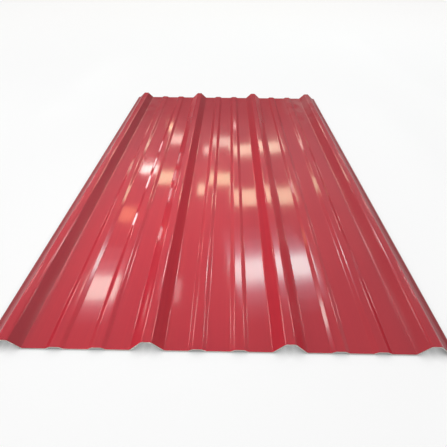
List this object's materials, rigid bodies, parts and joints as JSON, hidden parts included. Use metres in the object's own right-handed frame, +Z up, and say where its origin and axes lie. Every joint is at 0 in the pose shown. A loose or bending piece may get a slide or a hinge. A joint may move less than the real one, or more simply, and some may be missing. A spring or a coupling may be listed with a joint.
{
  "type": "plastic roof tile sheet",
  "caption": "Long glossy red plastic roofing sheet with tall trapezoidal ribs, low stiffening ribs in the pans and a narrow flat lip along each side, for covering pitched roofs and walls.",
  "frame": {"origin": "middle of the sheet's underside, on the ground plane that its pans rest on", "axes": "+X across the ribs, +Y along the ribs, +Z up out of the weather side"},
  "size_m": [1.006, 1.8, 0.028],
  "materials": {
    "sheet_skin": "gloss"
  },
  "bodies": {
    "root": {"roof_sheet": "sheet_skin"}
  },
  "joints": []
}
